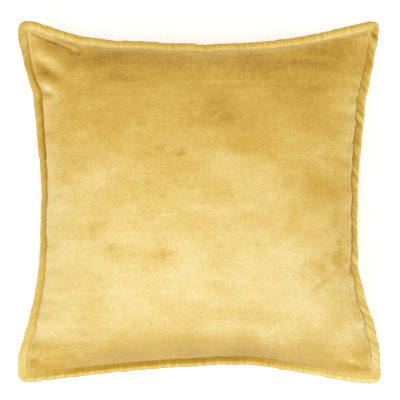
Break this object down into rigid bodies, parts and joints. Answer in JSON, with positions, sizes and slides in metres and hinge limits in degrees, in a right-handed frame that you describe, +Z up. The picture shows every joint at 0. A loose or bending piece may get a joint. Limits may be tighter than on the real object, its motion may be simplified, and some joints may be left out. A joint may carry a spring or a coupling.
{
  "type": "throw pillow",
  "caption": "Square velvet throw pillow, lying on its back, with a stitched flange round its edge, a zipped removable cover and a separate filled insert.",
  "frame": {"origin": "middle of the pillow's outline, on the surface it rests on", "axes": "+Z up through the pillow's thickness, front panel facing up; +Y towards the edge that is the top when the pillow stands on a sofa; the zip runs along X near the -Y edge of the back"},
  "size_m": [0.488, 0.488, 0.1648],
  "materials": {
    "front_cover": "short pile cotton velvet",
    "back_cover_upper": "short pile cotton velvet",
    "back_cover_lower": "short pile cotton velvet",
    "edge_seam_thread": "polyester sewing thread",
    "flange_topstitch_front": "polyester sewing thread",
    "flange_topstitch_back": "polyester sewing thread",
    "back_seam_thread_left": "polyester sewing thread",
    "back_seam_thread_right": "polyester sewing thread",
    "zip_tape_upper": "woven polyester tape",
    "zip_tape_lower": "woven polyester tape",
    "zip_coil_upper": "nylon coil",
    "zip_coil_lower": "nylon coil",
    "zip_top_stop_upper": "antique plated die-cast metal",
    "zip_top_stop_lower": "antique plated die-cast metal",
    "zip_bottom_stop": "antique plated die-cast metal",
    "zip_stitch_upper": "polyester sewing thread",
    "zip_stitch_lower": "polyester sewing thread",
    "care_label": "plain satin ribbon, blank",
    "insert_casing_front": "plain cotton cloth",
    "insert_casing_back": "plain cotton cloth",
    "insert_seam_thread": "cotton sewing thread",
    "insert_filling": "soft fibre filling",
    "zip_slider": "antique plated die-cast metal",
    "zip_pull_tab": "antique plated die-cast metal"
  },
  "bodies": {
    "pillow": {"front_cover": "front_cover", "back_cover_upper": "back_cover_upper", "back_cover_lower": "back_cover_lower", "edge_seam_thread": "edge_seam_thread", "flange_topstitch_front": "flange_topstitch_front", "flange_topstitch_back": "flange_topstitch_back", "back_seam_thread_left": "back_seam_thread_left", "back_seam_thread_right": "back_seam_thread_right", "zip_tape_upper": "zip_tape_upper", "zip_tape_lower": "zip_tape_lower", "zip_coil_upper": "zip_coil_upper", "zip_coil_lower": "zip_coil_lower", "zip_top_stop_upper": "zip_top_stop_upper", "zip_top_stop_lower": "zip_top_stop_lower", "zip_bottom_stop": "zip_bottom_stop", "zip_stitch_upper": "zip_stitch_upper", "zip_stitch_lower": "zip_stitch_lower", "care_label": "care_label", "insert_casing_front": "insert_casing_front", "insert_casing_back": "insert_casing_back", "insert_seam_thread": "insert_seam_thread", "insert_filling": "insert_filling"},
    "slider": {"zip_slider": "zip_slider"},
    "pull_tab": {"zip_pull_tab": "zip_pull_tab"}
  },
  "joints": [
    {"name": "zip_slider_run", "type": "hinge", "parent": "pillow", "child": "slider", "pos_m": [0, -0.1745, 1.03545], "axis": [0, 1, 0], "range_deg": [0, 16.84]},
    {"name": "zip_pull_tab_swing", "type": "hinge", "parent": "slider", "child": "pull_tab", "pos_m": [0.15009, -0.17478, 0.03356], "axis": [0.064, 0.9018, -0.4273], "range_deg": [-99.4, 80.6]}
  ]
}
